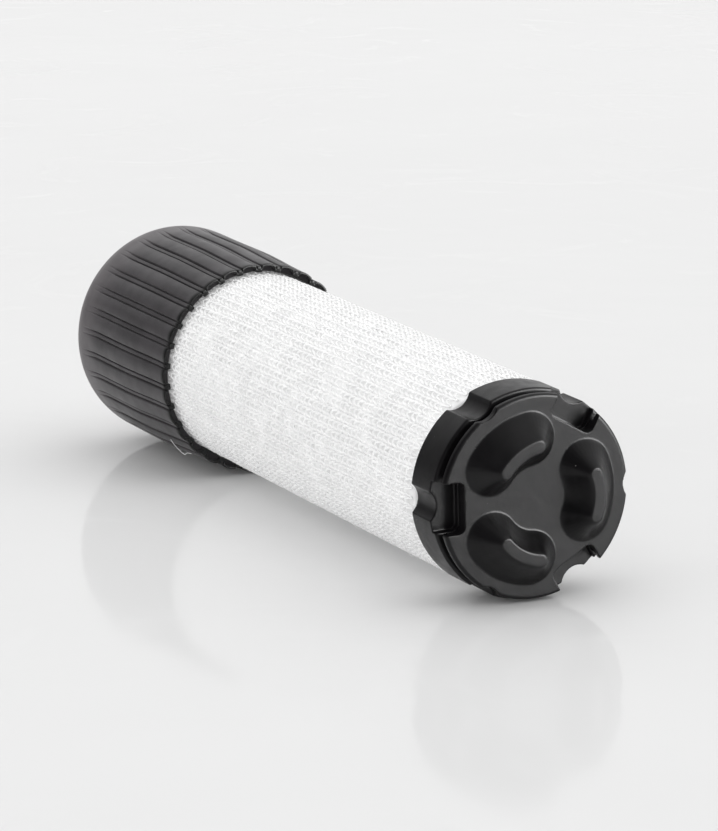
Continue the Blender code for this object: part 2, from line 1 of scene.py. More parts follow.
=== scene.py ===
"""Looks of a caravan water filter's netted carbon cartridge, lying on a pale table.

Every piece is built in the cartridge's own axes: X points out of the front plate and is zero on the plate's
flat face. Places along it are depths, measured back towards the ribbed cap. Sizes are in metres.
"""

import json
import math
from collections import namedtuple

import bmesh
import bpy
import numpy as np
from bpy.props import FloatProperty, FloatVectorProperty, IntProperty, PointerProperty
from mathutils import Matrix, Vector


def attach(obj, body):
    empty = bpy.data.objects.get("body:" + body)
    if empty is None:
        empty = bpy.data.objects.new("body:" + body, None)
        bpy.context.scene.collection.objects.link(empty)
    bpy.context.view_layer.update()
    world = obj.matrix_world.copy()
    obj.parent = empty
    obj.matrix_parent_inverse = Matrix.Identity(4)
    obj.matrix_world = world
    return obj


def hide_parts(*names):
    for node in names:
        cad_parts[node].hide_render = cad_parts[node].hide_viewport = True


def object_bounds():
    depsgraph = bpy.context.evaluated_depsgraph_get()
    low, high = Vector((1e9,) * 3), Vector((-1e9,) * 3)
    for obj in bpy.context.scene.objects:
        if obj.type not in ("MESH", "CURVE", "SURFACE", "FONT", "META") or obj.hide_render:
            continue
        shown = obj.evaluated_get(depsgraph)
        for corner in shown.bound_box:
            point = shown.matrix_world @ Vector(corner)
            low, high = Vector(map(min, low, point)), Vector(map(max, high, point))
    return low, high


bl_info = {
    "name": "Netted Filter Cartridge",
    "version": (1, 0, 0),
    "blender": (4, 5, 0),
    "location": "3D View > Sidebar > Filter",
    "description": "Builds the looks of a netted water filter cartridge round its packed model",
    "category": "Object",
}

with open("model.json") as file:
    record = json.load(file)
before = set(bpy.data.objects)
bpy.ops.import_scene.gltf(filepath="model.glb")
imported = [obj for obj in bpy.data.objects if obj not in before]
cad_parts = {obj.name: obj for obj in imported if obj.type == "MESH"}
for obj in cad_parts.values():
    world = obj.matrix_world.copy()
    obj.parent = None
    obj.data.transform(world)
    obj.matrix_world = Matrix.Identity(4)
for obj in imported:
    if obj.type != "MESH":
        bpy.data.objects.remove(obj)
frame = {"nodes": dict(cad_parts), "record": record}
CAD_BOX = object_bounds()
MM = 0.001
GAP = 0.3 * MM
FULL = math.tau


# ---- the packed model's places and sizes ---------------------------------------------------------------
Span = namedtuple("Span", "front back inner outer")


def cartridge_axes():
    """Matrix from the cartridge's own axes to the frame's, read from the mount on the plate's flat face."""
    face = next(m for m in frame["record"]["mounts"] if m["name"] == "front_face")
    ahead = Vector(face["axis"]).normalized()
    across = Vector((0.0, 1.0, 0.0))
    turn = Matrix((ahead, across, ahead.cross(across))).transposed().to_4x4()
    return Matrix.Translation(face["pos_m"]) @ turn


AXES = cartridge_axes()


def span(node):
    """Front and back depth, smallest and largest radius of a packed piece."""
    inverse = AXES.inverted()
    places = np.array([inverse @ v.co for v in frame["nodes"][node].data.vertices])
    radius = np.hypot(places[:, 1], places[:, 2])
    return Span(-places[:, 0].max(), -places[:, 0].min(), radius.min(), radius.max())


PLATE = span("front_plate")
COLLAR = span("front_collar")
SLEEVE = span("net_sleeve")
CAP = span("ribbed_cap")
END_CAP = span("rear_end_cap")
PLUG = span("cap_plug")
WASHER = span("cap_seal")


# ---- sizes and colours that a user would change ----------------------------------------------------------
def size(name, default, description):
    """A length."""
    return FloatProperty(name=name, default=default, description=description, min=0.0, precision=5,
                         subtype="DISTANCE", unit="LENGTH")


def turn(name, default, description):
    """An angle, given in degrees."""
    return FloatProperty(name=name, default=math.radians(default), description=description,
                         subtype="ANGLE", unit="ROTATION")


def share(name, default, description):
    """A share from 0 to 1."""
    return FloatProperty(name=name, default=default, description=description, min=0.0, max=1.0)


def colour(name, default, description):
    """A linear colour."""
    return FloatVectorProperty(name=name, default=default, description=description, size=3, min=0.0,
                               max=1.0, subtype="COLOR")


def count(name, default, description):
    """A whole number."""
    return IntProperty(name=name, default=default, description=description, min=3)


def strength(name, default, description):
    """The strength of a lamp or of a glow."""
    return FloatProperty(name=name, default=default, description=description, min=0.0)


class FrontSettings(bpy.types.PropertyGroup):
    """The front plate and the collar that it turns in."""

    clocking: turn("Clocking", 2.0, "How far the front pieces are turned about the axis")
    rim: size("Rim", 1.6 * MM, "Plate thickness at its rim")
    edge: size("Edge", 0.7 * MM, "Rounding of the plate's front edge")
    groove_width: size("Groove width", 1.6 * MM, "Width of the dark groove behind the plate's rim")
    groove_depth: size("Groove depth", 1.6 * MM, "How far that groove runs inwards")
    hub: size("Hub", COLLAR.inner - GAP, "Radius of the plate's hub")
    hub_wall: size("Hub wall", 3.2 * MM, "Wall of the hub")
    web: size("Web", 4.8 * MM, "Thick front part of the collar")
    socket_wall: size("Socket wall", 2.8 * MM, "Collar wall round the cage")
    lug: size("Lug", 1.6 * MM, "Thickness of a bayonet lug along the axis")
    lug_reach: size("Lug reach", 1.7 * MM, "How far a lug stands out of the hub")
    lug_angle: turn("Lug angle", 12.0, "Half the angle that a lug takes")
    unlock: turn("Unlock", 40.0, "Turn from locked to free")
    grip_height: size("Grip height", -PLATE.front, "Height of a finger grip")
    grip_foot: size("Grip foot", 5.8 * MM, "Half the width of a grip at its foot")
    grip_crest: size("Grip crest", 1.3 * MM, "Half the width of a grip's crest")
    pocket_floor: size("Pocket floor", 4.6 * MM, "Depth of the pockets in the rim")
    pocket_wall: size("Pocket wall", 16.6 * MM, "A pocket's inner wall, from the axis")
    pocket_half: size("Pocket half width", 5.5 * MM, "Half the width of a pocket")
    pocket_corner: size("Pocket corner", 1.5 * MM, "Rounding of a pocket's corners")
    flute: size("Flute", 4.0 * MM, "Radius of the flutes along the front rim")
    flute_depth: size("Flute depth", 1.7 * MM, "How far a flute reaches into the collar")
    voxel: size("Grain of the form", 0.16 * MM, "Cell size for the moulded front pieces")


class SleeveSettings(bpy.types.PropertyGroup):
    """The knitted net and the fleece under it."""

    wales: count("Wales", 64, "Stitches round the sleeve")
    courses: count("Courses", 66, "Rows of stitches along the sleeve")
    filament: size("Filament", 0.15 * MM, "Half the thickness of a flat bundle of filament")
    head_width: size("Head width", 0.42 * MM, "Half the width of the bundle at the head of a loop")
    foot_width: size("Foot width", 0.2 * MM, "Half the width of the bundle at the foot of a loop")
    crimp: size("Crimp", 0.2 * MM, "How far a loop weaves in and out")
    reach: share("Loop reach", 0.62, "Half the height of a loop, as a share of a row")
    lean: share("Loop lean", 0.2, "How far a loop's neck pulls in, as a share of a stitch")
    unevenness: size("Unevenness", 0.16 * MM, "How far a stitch strays from its place")
    fleece_raised: size("Fleece raised", 0.34 * MM, "How far the fleece swells into the net")
    fleece_bumps: size("Fleece bumps", 0.12 * MM, "Height of the fleece's bumps")


class CapSettings(bpy.types.PropertyGroup):
    """The ribbed cap."""

    ribs: count("Ribs", 30, "Ribs round the cap")
    groove: size("Groove", 1.0 * MM, "Depth of a groove")
    wall: size("Wall", 1.2 * MM, "Wall under the top of a rib")
    rim_wall: size("Rim wall", 0.3 * MM, "Wall at the rim, where the hollows flare")
    web: size("Web", 0.9 * MM, "Thickness of the web across each hollow at the rim")
    web_depth: size("Web depth", 1.3 * MM, "How far the web lies behind the rim")
    lip: size("Lip", 0.25 * MM, "How much closer to the sleeve the rim is")
    flare: size("Flare", 3.0 * MM, "How deep the flared part of a hollow is")
    taper: size("Taper", 0.8 * MM, "How much smaller the rim's radius is")
    taper_length: size("Taper length", 24.0 * MM, "Length over which the rim narrows")
    dome: size("Dome", 11.5 * MM, "Length of the rounded end")
    flat: size("Flat", 10.0 * MM, "Radius of the flat at the very end")
    end: size("End", 2.5 * MM, "Thickness of the closed end")
    socket_wall: size("Socket wall", 1.7 * MM, "Wall of the ring that holds the plug")
    socket_length: size("Socket length", 9.5 * MM, "Length of that ring")
    clearance: size("Clearance", 0.4 * MM, "Room between the cap and the rear end cap")


class OutletSettings(bpy.types.PropertyGroup):
    """The rear end cap, its spigot and the washer that closes it."""

    socket_wall: size("Socket wall", 2.8 * MM, "Wall round the cage")
    floor: size("Floor", 4.0 * MM, "Thickness of the end cap's floor")
    plug_clearance: size("Plug clearance", 0.8 * MM, "Room between the spigot and the cap's plug")
    ring_play: size("Ring play", 0.1 * MM, "Room under an O-ring in its groove")
    washer_lip: size("Washer lip", 0.3 * MM, "Rounding of the washer's edge")


class FinishSettings(bpy.types.PropertyGroup):
    """Colours."""

    plastic: colour("Black plastic", (0.0048, 0.0044, 0.005), "Front plate and collar")
    rubber: colour("Black rubber", (0.038, 0.0345, 0.0375), "Ribbed cap")
    white: colour("White plastic", (0.74, 0.75, 0.74), "Cage, core, end cap, plug and valve")
    filament: colour("Filament", (0.97, 0.97, 0.972), "Knitted net")
    fleece: colour("Fleece", (0.95, 0.95, 0.95), "Outer and inner fleece")
    # Painted glow: the net and the fleece give off light of their own, standing in for light that comes
    # through them.
    translucence: share("Painted glow", 0.09, "Light that comes through the net and the fleece")
    carbon: colour("Carbon", (0.018, 0.018, 0.02), "Carbon granules")
    foam: colour("Foam", (0.68, 0.68, 0.63), "End discs of foam")
    seal: colour("Seal rubber", (0.016, 0.016, 0.017), "O-rings, bonds and washers")
    steel: colour("Spring steel", (0.58, 0.57, 0.56), "Valve spring")
    floor: colour("Table", (0.78, 0.78, 0.78), "Table top")


class StageSettings(bpy.types.PropertyGroup):
    """Camera, table and light."""

    eye: FloatVectorProperty(name="Eye", default=(0.79190, -0.43811, 0.21303), subtype="TRANSLATION",
                             unit="LENGTH", description="Camera's place from the plate's face")
    heading: turn("Heading", 63.37, "Camera's turn about the vertical")
    dip: turn("Dip", 12.21, "How far the camera looks down")
    lens: FloatProperty(name="Lens", default=224.46, unit="CAMERA", description="Focal length")
    table: size("Table", 3.0, "Half the width of the table")
    bright: strength("Bright side", 0.92, "Light from the room's bright side")
    dark: strength("Dark side", 0.03, "Light from the room's dark side")
    table_glow: strength("Table glow", 0.02, "Light that comes up through the table")
    side_fill: strength("Side fill", 2.4, "Strength of the fill from the side")
    top_fill: strength("Top fill", 0.7, "Strength of the fill from above")
    key: strength("Key", 50.0, "Power of the soft box at the right, in watts")


# ---- mesh helpers --------------------------------------------------------------------------------------
def around(depth, radius, angle):
    """Points at a depth and a radius, turned about the axis: angle 0 is +Y and a quarter turn is +Z."""
    depth, radius, angle = np.broadcast_arrays(depth, radius, angle)
    return np.stack([-depth, radius * np.cos(angle), radius * np.sin(angle)], axis=-1)


def grid_faces(rows, columns, wrap_rows=False):
    """Quads over a grid whose columns close on themselves."""
    i = np.arange(rows if wrap_rows else rows - 1)[:, None]
    j = np.arange(columns)[None, :]
    below, next_column = (i + 1) % rows, (j + 1) % columns
    corners = (i * columns + j, below * columns + j, below * columns + next_column, i * columns + next_column)
    return np.stack([np.broadcast_to(c, (i.size, columns)) for c in corners], axis=-1).reshape(-1, 4)


def mesh_object(name, points, faces, smooth=True):
    """A mesh object that stands in the cartridge's axes."""
    mesh = bpy.data.meshes.new(name)
    mesh.from_pydata(np.asarray(points).reshape(-1, 3).tolist(), [], [list(f) for f in faces])
    mesh.validate()
    mesh.shade_smooth() if smooth else mesh.shade_flat()
    made = bpy.data.objects.new(name, mesh)
    bpy.context.scene.collection.objects.link(made)
    made.matrix_world = AXES
    return made


def finish_piece(made, slot, body, nodes=()):
    """Gives a new piece its slot's material and its body, and hides the packed pieces it stands for."""
    made.data.materials.clear()
    made.data.materials.append(finish_named(slot))
    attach(made, body)
    if nodes:
        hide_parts(*nodes)
    return made


def rounded(corners, steps=4):
    """An outline of (depth, radius, rounding) corners with its corners rounded off; it is a closed loop."""
    outline = []
    last = len(corners)
    for i, (depth, radius, rounding) in enumerate(corners):
        here = np.array((depth, radius))
        before = np.array(corners[i - 1][:2]) - here
        after = np.array(corners[(i + 1) % last][:2]) - here
        if rounding <= 0.0:
            outline.append(here)
            continue
        before, after = before / np.linalg.norm(before), after / np.linalg.norm(after)
        half = math.acos(max(-1.0, min(1.0, float(before @ after)))) / 2
        reach = rounding / math.tan(half)
        middle = here + (before + after) / np.linalg.norm(before + after) * rounding / math.sin(half)
        start, end = here + before * reach - middle, here + after * reach - middle
        opening = math.pi - 2 * half
        for k in range(steps + 1):
            reached = start * math.sin((1 - k / steps) * opening) + end * math.sin(k / steps * opening)
            outline.append(middle + reached / math.sin(opening))
    return outline


def turned(name, outline, sides=128):
    """A closed outline of (depth, radius) turned about the axis; points on the axis close it there."""
    angles = np.arange(sides) * FULL / sides
    rings = np.array([around(depth, radius, angles) for depth, radius in outline])
    made = mesh_object(name, rings, grid_faces(len(outline), sides, wrap_rows=True))
    clean(made)
    return made


def clean(made):
    """Merges doubled points, drops what has no area, and turns every face outwards."""
    bm = bmesh.new()
    bm.from_mesh(made.data)
    bmesh.ops.remove_doubles(bm, verts=bm.verts, dist=1e-7)
    bmesh.ops.dissolve_degenerate(bm, edges=bm.edges, dist=1e-8)
    bmesh.ops.recalc_face_normals(bm, faces=bm.faces)
    bm.to_mesh(made.data)
    bm.free()


def loft(name, rings):
    """A closed skin over rings of points, capped at both ends."""
    rings = np.array(rings)
    rows, columns = rings.shape[:2]
    faces = [list(f) for f in grid_faces(rows, columns)]
    faces.append(list(range(columns)))
    faces.append(list(range((rows - 1) * columns, rows * columns)))
    made = mesh_object(name, rings, faces)
    clean(made)
    return made


def prism(name, outline, front, back):
    """An outline of (y, z) points stretched from one depth to another."""
    flat = np.array(outline)
    return loft(name, [np.column_stack([np.full(len(flat), -depth), flat]) for depth in (front, back)])


def arc(centre, radius, start, end, steps):
    """Points (y, z) on an arc."""
    angles = np.linspace(start, end, steps + 1)
    return [(centre[0] + radius * math.cos(a), centre[1] + radius * math.sin(a)) for a in angles]


def moulded(base, cuts, joins, cell, thin=0.4, soften=4):
    """Cuts and joins solids, then skins the result finely and softens its edges as a mould does."""
    for operation, tools in (("DIFFERENCE", cuts), ("UNION", joins)):
        for tool in tools:
            step = base.modifiers.new(tool.name, "BOOLEAN")
            step.object = tool
            step.operation = operation
            step.solver = "EXACT"
    skin = base.modifiers.new("skin", "REMESH")
    skin.mode = "VOXEL"
    skin.voxel_size = cell
    edges = base.modifiers.new("edges", "SMOOTH")
    edges.factor = 0.5
    edges.iterations = soften
    fewer = base.modifiers.new("fewer", "DECIMATE")
    fewer.ratio = thin
    bpy.context.view_layer.update()
    mesh = bpy.data.meshes.new_from_object(base.evaluated_get(bpy.context.evaluated_depsgraph_get()))
    if not mesh.polygons:
        raise RuntimeError(f"{base.name} came out empty")
    base.modifiers.clear()
    base.data = mesh
    mesh.shade_smooth()
    for tool in {*cuts, *joins}:
        bpy.data.objects.remove(tool)
    return base


def waves(seed, along, angle, fine, amount=24):
    """Soft unevenness over a tube, between about -1 and 1, that closes round the axis."""
    draw = np.random.default_rng(seed)
    total = np.zeros(np.broadcast(along, angle).shape)
    for _ in range(amount):
        turns = draw.integers(-fine, fine + 1)
        pitch = draw.uniform(-1.0, 1.0) * fine / COLLAR.outer
        total += np.sin(turns * angle + pitch * along + draw.uniform(0.0, FULL))
    return total / math.sqrt(amount)


# ---- materials -----------------------------------------------------------------------------------------
class Finish:
    """A Principled material and the nodes that vary it. Patterns follow the piece's own coordinates."""

    def __init__(self, name, colour, roughness, **sockets):
        self.material = bpy.data.materials.new(name)
        self.material.use_nodes = True
        self.nodes = self.material.node_tree.nodes
        self.links = self.material.node_tree.links
        self.shader = self.nodes["Principled BSDF"]
        self.shader.inputs["Base Color"].default_value = (*colour, 1.0)
        self.shader.inputs["Roughness"].default_value = roughness
        for socket, value in sockets.items():
            self.shader.inputs[socket.replace("_", " ")].default_value = value
        self.colour = tuple(colour)
        self.place = self.nodes.new("ShaderNodeTexCoord").outputs["Object"]

    def noise(self, grain, detail=4.0, distortion=0.0):
        """Cloudy noise whose patches are about one grain across."""
        made = self.nodes.new("ShaderNodeTexNoise")
        made.inputs["Scale"].default_value = 1.0 / grain
        made.inputs["Detail"].default_value = detail
        made.inputs["Distortion"].default_value = distortion
        self.links.new(self.place, made.inputs["Vector"])
        return made.outputs["Fac"]

    def cells(self, grain):
        """Distance from the middles of cells about one grain across."""
        made = self.nodes.new("ShaderNodeTexVoronoi")
        made.inputs["Scale"].default_value = 1.0 / grain
        self.links.new(self.place, made.inputs["Vector"])
        return made.outputs["Distance"]

    def remap(self, source, low, high, to_low, to_high):
        """A range of a value stretched onto another range."""
        made = self.nodes.new("ShaderNodeMapRange")
        made.interpolation_type = "SMOOTHSTEP"
        for socket, value in zip(("From Min", "From Max", "To Min", "To Max"), (low, high, to_low, to_high)):
            made.inputs[socket].default_value = value
        self.links.new(source, made.inputs["Value"])
        return made.outputs["Result"]

    def times(self, first, second):
        """Two values multiplied."""
        made = self.nodes.new("ShaderNodeMath")
        made.operation = "MULTIPLY"
        self.links.new(first, made.inputs[0])
        self.links.new(second, made.inputs[1])
        return made.outputs[0]

    def mix(self, source, first, second):
        """A colour between two, each a colour or the output of another node."""
        made = self.nodes.new("ShaderNodeMix")
        made.data_type = "RGBA"
        self.links.new(source, made.inputs["Factor"])
        for socket, value in ((made.inputs[6], first), (made.inputs[7], second)):
            if isinstance(value, bpy.types.NodeSocket):
                self.links.new(value, socket)
            else:
                socket.default_value = (*value, 1.0)
        return made.outputs[2]

    def paint(self, source):
        """Drives the base colour."""
        self.links.new(source, self.shader.inputs["Base Color"])

    def gloss(self, source, low, high):
        """Drives the roughness."""
        self.links.new(self.remap(source, 0.3, 0.7, low, high), self.shader.inputs["Roughness"])

    def relief(self, *heights):
        """Bumps from (source, depth) pairs."""
        normal = None
        for source, depth in heights:
            made = self.nodes.new("ShaderNodeBump")
            made.inputs["Strength"].default_value = 1.0
            made.inputs["Distance"].default_value = depth
            self.links.new(source, made.inputs["Height"])
            if normal:
                self.links.new(normal, made.inputs["Normal"])
            normal = made.outputs["Normal"]
        self.links.new(normal, self.shader.inputs["Normal"])

    def shades(self, source, darker, lighter):
        """Base colour between a darker and a lighter shade of its own."""
        tones = [tuple(min(1.0, c * factor) for c in self.colour) for factor in (darker, lighter)]
        made = self.mix(self.remap(source, 0.3, 0.7, 0.0, 1.0), *tones)
        self.paint(made)
        return made


def dusted(finish, base, spacing, dust):
    """Specks of dust on a dark moulding."""
    dots = finish.remap(finish.cells(spacing), 0.02, 0.045, 1.0, 0.0)
    patches = finish.remap(finish.noise(6.0 * spacing, detail=1.0), 0.52, 0.6, 0.0, 1.0)
    finish.paint(finish.mix(finish.times(dots, patches), base, dust))


def black_plastic(settings):
    """Satin moulded plastic with a fine spark-eroded grain, soft flow marks and a little dust."""
    made = Finish("black_plastic", settings.plastic, 0.36, IOR=1.33)
    tone = made.shades(made.noise(5.0 * MM, detail=3.0), 0.8, 1.25)
    dusted(made, tone, 2.4 * MM, (0.32, 0.31, 0.3))
    made.gloss(made.noise(3.0 * MM), 0.31, 0.4)
    made.relief((made.noise(0.16 * MM, detail=3.0), 0.012 * MM), (made.noise(2.6 * MM), 0.035 * MM))
    return made.material


def worn_ends(made, tone, pale, deep):
    """Painted highlight as a pale tone in patches over the cap's rounded end, and painted shade as a deep
    black band at its rim.
    """
    axis = made.nodes.new("ShaderNodeSeparateXYZ")
    made.links.new(made.place, axis.inputs[0])
    along = axis.outputs["X"]
    start = CAP.front + 0.55 * (CAP.back - CAP.front)
    # Painted highlight: the rounded end is lightened towards its back, in patches.
    highlight_reach = made.remap(along, 4.0 * MM - CAP.back, -start, 0.95, 0.0)
    patches = made.remap(made.noise(6.0 * MM, detail=4.0), 0.25, 0.6, 0.6, 1.0)
    highlighted_tone = made.mix(made.times(highlight_reach, patches), tone, pale)
    # Painted shade: a deep black band just behind the rim, where the hollows behind the ribs lie in shadow.
    return made.mix(made.remap(along, -CAP.front - 1.5 * MM, -CAP.front - 0.7 * MM, 0.0, 1.0), highlighted_tone, deep)


def black_rubber(settings):
    """Soft satin rubber with faint rubbing marks, a painted highlight over its rounded end and a painted
    shadow band at its rim.
    """
    made = Finish("black_rubber", settings.rubber, 0.46, IOR=1.45, Sheen_Weight=0.12, Sheen_Roughness=0.4)
    tone = made.shades(made.noise(7.0 * MM, detail=3.0), 0.8, 1.15)
    # Painted highlight on the rounded end and painted shade at the rim.
    tone = worn_ends(made, tone, (0.15, 0.138, 0.144), (0.004, 0.004, 0.004))
    dusted(made, tone, 3.2 * MM, (0.26, 0.25, 0.25))
    made.gloss(made.noise(4.0 * MM), 0.42, 0.52)
    made.relief((made.noise(0.2 * MM, detail=3.0), 0.014 * MM), (made.noise(5.0 * MM), 0.05 * MM))
    return made.material


def white_plastic(settings):
    """Moulded polypropylene: slightly milky, with a soft sheen and a fine grain."""
    made = Finish("white_plastic", settings.white, 0.38, Subsurface_Weight=0.12, Subsurface_Scale=1.2 * MM)
    made.shades(made.noise(6.0 * MM), 0.95, 1.03)
    made.gloss(made.noise(3.0 * MM), 0.32, 0.46)
    made.relief((made.noise(0.25 * MM, detail=3.0), 0.01 * MM))
    return made.material


def clear_filament(settings):
    """Glossy, half clear nylon, with lighter and duller stretches."""
    # The emission is a painted glow, standing in for light that comes through the net.
    made = Finish("clear_filament", settings.filament, 0.3, Transmission_Weight=0.08, IOR=1.4,
                  Emission_Color=(1.0, 1.0, 1.0, 1.0), Emission_Strength=settings.translucence)
    made.shades(made.noise(3.5 * MM), 0.93, 1.05)
    made.gloss(made.noise(1.5 * MM), 0.22, 0.42)
    made.relief((made.noise(0.12 * MM, detail=2.0), 0.008 * MM))
    return made.material


def white_fleece(settings):
    """Felted fibre: cloudy whiteness with soft grey patches and a fuzzy relief."""
    grey, pore = (tuple(part * c for c in settings.fleece) for part in (0.86, 0.8))
    # The emission is a painted glow, standing in for light that comes through the fleece.
    made = Finish("white_fleece", settings.fleece, 0.92, Sheen_Weight=0.3, Sheen_Roughness=0.5,
                  Emission_Color=(1.0, 1.0, 1.0, 1.0), Emission_Strength=1.6 * settings.translucence)
    cloudy = made.mix(made.remap(made.noise(9.0 * MM, detail=5.0, distortion=0.4), 0.36, 0.66, 0.0, 1.0),
                      grey, tuple(settings.fleece))
    pores = made.remap(made.cells(0.7 * MM), 0.05, 0.5, 0.6, 0.0)
    made.paint(made.mix(made.times(pores, made.noise(1.1 * MM)), cloudy, pore))
    made.relief((made.noise(0.3 * MM, detail=6.0, distortion=1.2), 0.06 * MM),
                (made.noise(1.2 * MM), 0.1 * MM))
    return made.material


def carbon(settings):
    """Packed granules with glinting facets."""
    made = Finish("carbon", settings.carbon, 0.55)
    made.shades(made.cells(0.9 * MM), 0.5, 2.2)
    made.gloss(made.noise(0.9 * MM), 0.3, 0.85)
    made.relief((made.cells(0.9 * MM), -0.5 * MM), (made.noise(0.3 * MM), 0.08 * MM))
    return made.material


def foam(settings):
    """Open-cell foam."""
    made = Finish("foam", settings.foam, 0.95, Sheen_Weight=0.2)
    made.shades(made.cells(0.55 * MM), 1.08, 0.62)
    made.relief((made.cells(0.55 * MM), -0.3 * MM))
    return made.material


def seal_rubber(settings):
    """Black seal rubber with a greased look."""
    made = Finish("seal_rubber", settings.seal, 0.3)
    made.shades(made.noise(2.0 * MM), 0.8, 1.4)
    made.gloss(made.noise(1.5 * MM), 0.2, 0.45)
    made.relief((made.noise(0.18 * MM), 0.008 * MM))
    return made.material


def spring_steel(settings):
    """Drawn stainless wire."""
    made = Finish("spring_steel", settings.steel, 0.28, Metallic=1.0)
    made.shades(made.noise(0.8 * MM), 0.85, 1.1)
    made.gloss(made.noise(0.4 * MM, detail=6.0), 0.2, 0.4)
    made.relief((made.noise(0.08 * MM), 0.004 * MM))
    return made.material


FINISHES = (black_plastic, black_rubber, white_plastic, clear_filament, white_fleece, carbon, foam,
            seal_rubber, spring_steel)


def finish_named(name):
    """A material by its slot's name, made the first time it is asked for."""
    made = bpy.data.materials.get(name + "_finish")
    if made is None:
        maker = next(f for f in FINISHES if f.__name__ == name)
        made = maker(bpy.context.scene.filter_finish)
        made.name = name + "_finish"
    return made


# ---- front end -----------------------------------------------------------------------------------------
GRIP_SWEEP = (math.radians(24.0), math.radians(21.5))     # half the angle at the foot and at the crest
GRIP_LINE = (12.8 * MM, 12.3 * MM)                        # radius of its middle line there
GRIP_SLOPE = ((0.0, 0.0), (0.1, 0.13), (0.2, 0.24), (0.3, 0.34), (0.46, 0.5), (0.62, 0.64), (0.76, 0.76),
              (0.88, 0.86), (0.95, 0.93), (1.0, 1.0))     # (rise, share of the way from foot to crest)


def grip_ring(depth, line, half, sweep, middle):
    """One level of a finger grip: a strip bent round the axis, with round ends."""
    outer = arc((0, 0), line + half, middle - sweep, middle + sweep, 24)
    ends = []
    for side, start in ((1, middle + sweep), (-1, middle - sweep + math.pi)):
        centre = (line * math.cos(middle + side * sweep), line * math.sin(middle + side * sweep))
        ends.append(arc(centre, half, start, start + math.pi, 16)[1:-1])
    inner = arc((0, 0), line - half, middle + sweep, middle - sweep, 24)
    flat = np.array(outer + ends[0] + inner + ends[1])
    return np.column_stack([np.full(len(flat), -depth), flat])


def finger_grips(front):
    """Three raised grips, each from inside the plate up to its crest."""
    made = []
    foot = (GRIP_LINE[0], front.grip_foot, GRIP_SWEEP[0])
    crest = (GRIP_LINE[1], front.grip_crest, GRIP_SWEEP[1])
    for i in range(3):
        middle = front.clocking + FULL * i / 3
        rings = [grip_ring(front.rim, *foot, middle)]
        for rise, way in GRIP_SLOPE:
            level = [a + (b - a) * way for a, b in zip(foot, crest)]
            rings.append(grip_ring(-front.grip_height * rise, *level, middle))
        made.append(loft(f"grip_{i}", rings))
    return made


def pockets(front):
    """Three rounded windows cut into the rim between the grips."""
    made = []
    deep = front.pocket_wall + front.pocket_corner
    side = front.pocket_half - front.pocket_corner
    outer = COLLAR.outer + MM
    flat = np.array([(outer, front.pocket_half),
                     *arc((deep, side), front.pocket_corner, math.pi / 2, math.pi, 6),
                     *arc((deep, -side), front.pocket_corner, math.pi, math.pi * 1.5, 6),
                     (outer, -front.pocket_half)])
    for i in range(3):
        angle = front.clocking + FULL * (i + 0.5) / 3
        spin = np.array([(math.cos(angle), math.sin(angle)), (-math.sin(angle), math.cos(angle))])
        made.append(prism(f"pocket_{i}", flat @ spin, -MM, front.pocket_floor))
    return made


def flutes(front):
    """Six round flutes along the front rim."""
    made = []
    reach = COLLAR.outer - front.flute_depth + front.flute
    for i in range(6):
        angle = front.clocking + FULL * i / 6
        centre = (reach * math.cos(angle), reach * math.sin(angle))
        outline = arc(centre, front.flute, angle, angle + FULL * 47 / 48, 47)
        made.append(prism(f"flute_{i}", outline, -MM, COLLAR.back + MM))
    return made


def lug_sectors(name, inner, outer, front_depth, back_depth, start, half):
    """Three ring sectors about the axis."""
    made = []
    for i in range(3):
        middle = start + FULL * i / 3
        outline = (arc((0, 0), outer, middle - half, middle + half, 12)
                   + arc((0, 0), inner, middle + half, middle - half, 12))
        made.append(prism(f"{name}_{i}", outline, front_depth, back_depth))
    return made


class FILTER_OT_front_plate(bpy.types.Operator):
    """Round plate with three finger grips, rim pockets, flutes and the bayonet lugs on its hub"""

    bl_idname = "filter.front_plate"
    bl_label = "Front Plate"

    def execute(self, context):
        front = context.scene.filter_front
        shoulder = front.rim + front.groove_width - GAP
        neck = PLATE.outer - front.groove_depth
        bore = front.hub - front.hub_wall
        soft = 0.25 * MM
        outline = rounded([(0.0, 0.0, 0.0), (0.0, PLATE.outer, front.edge), (front.rim, PLATE.outer, soft),
                           (front.rim, neck, 0.0), (shoulder, neck, 0.0), (shoulder, front.hub, 0.0),
                           (PLATE.back, front.hub, soft), (PLATE.back, bore, soft), (shoulder, bore, 0.0),
                           (shoulder, 0.0, 0.0)], steps=6)
        base = turned("front_plate_moulding", outline, 192)
        lugs = lug_sectors("lug", bore + front.hub_wall / 2, front.hub + front.lug_reach,
                           PLATE.back - front.lug, PLATE.back, front.clocking, front.lug_angle)
        made = moulded(base, pockets(front) + flutes(front), finger_grips(front) + lugs, front.voxel)
        finish_piece(made, "black_plastic", "front_lid", ["front_plate"])
        return {"FINISHED"}


class FILTER_OT_front_collar(bpy.types.Operator):
    """Fluted ring that holds the cage and lets the front plate turn"""

    bl_idname = "filter.front_collar"
    bl_label = "Front Collar"

    def execute(self, context):
        front = context.scene.filter_front
        socket = COLLAR.outer - front.socket_wall
        web_back = COLLAR.front + front.web
        soft = 0.3 * MM
        outline = rounded([(COLLAR.front, COLLAR.inner, 0.0), (COLLAR.front, COLLAR.outer, 0.5 * MM),
                           (COLLAR.back, COLLAR.outer, soft), (COLLAR.back, socket, soft),
                           (web_back, socket, 0.0), (web_back, COLLAR.inner, 0.0)])
        base = turned("front_collar_moulding", outline, 192)
        gaps = lug_sectors("lug_gap", COLLAR.inner - MM, front.hub + front.lug_reach + GAP,
                           COLLAR.front - MM, web_back + MM, front.clocking + front.unlock,
                           front.lug_angle + math.radians(2.0))
        made = moulded(base, pockets(front) + flutes(front) + gaps, [], front.voxel)
        finish_piece(made, "black_plastic", "cartridge", ["front_collar"])
        return {"FINISHED"}


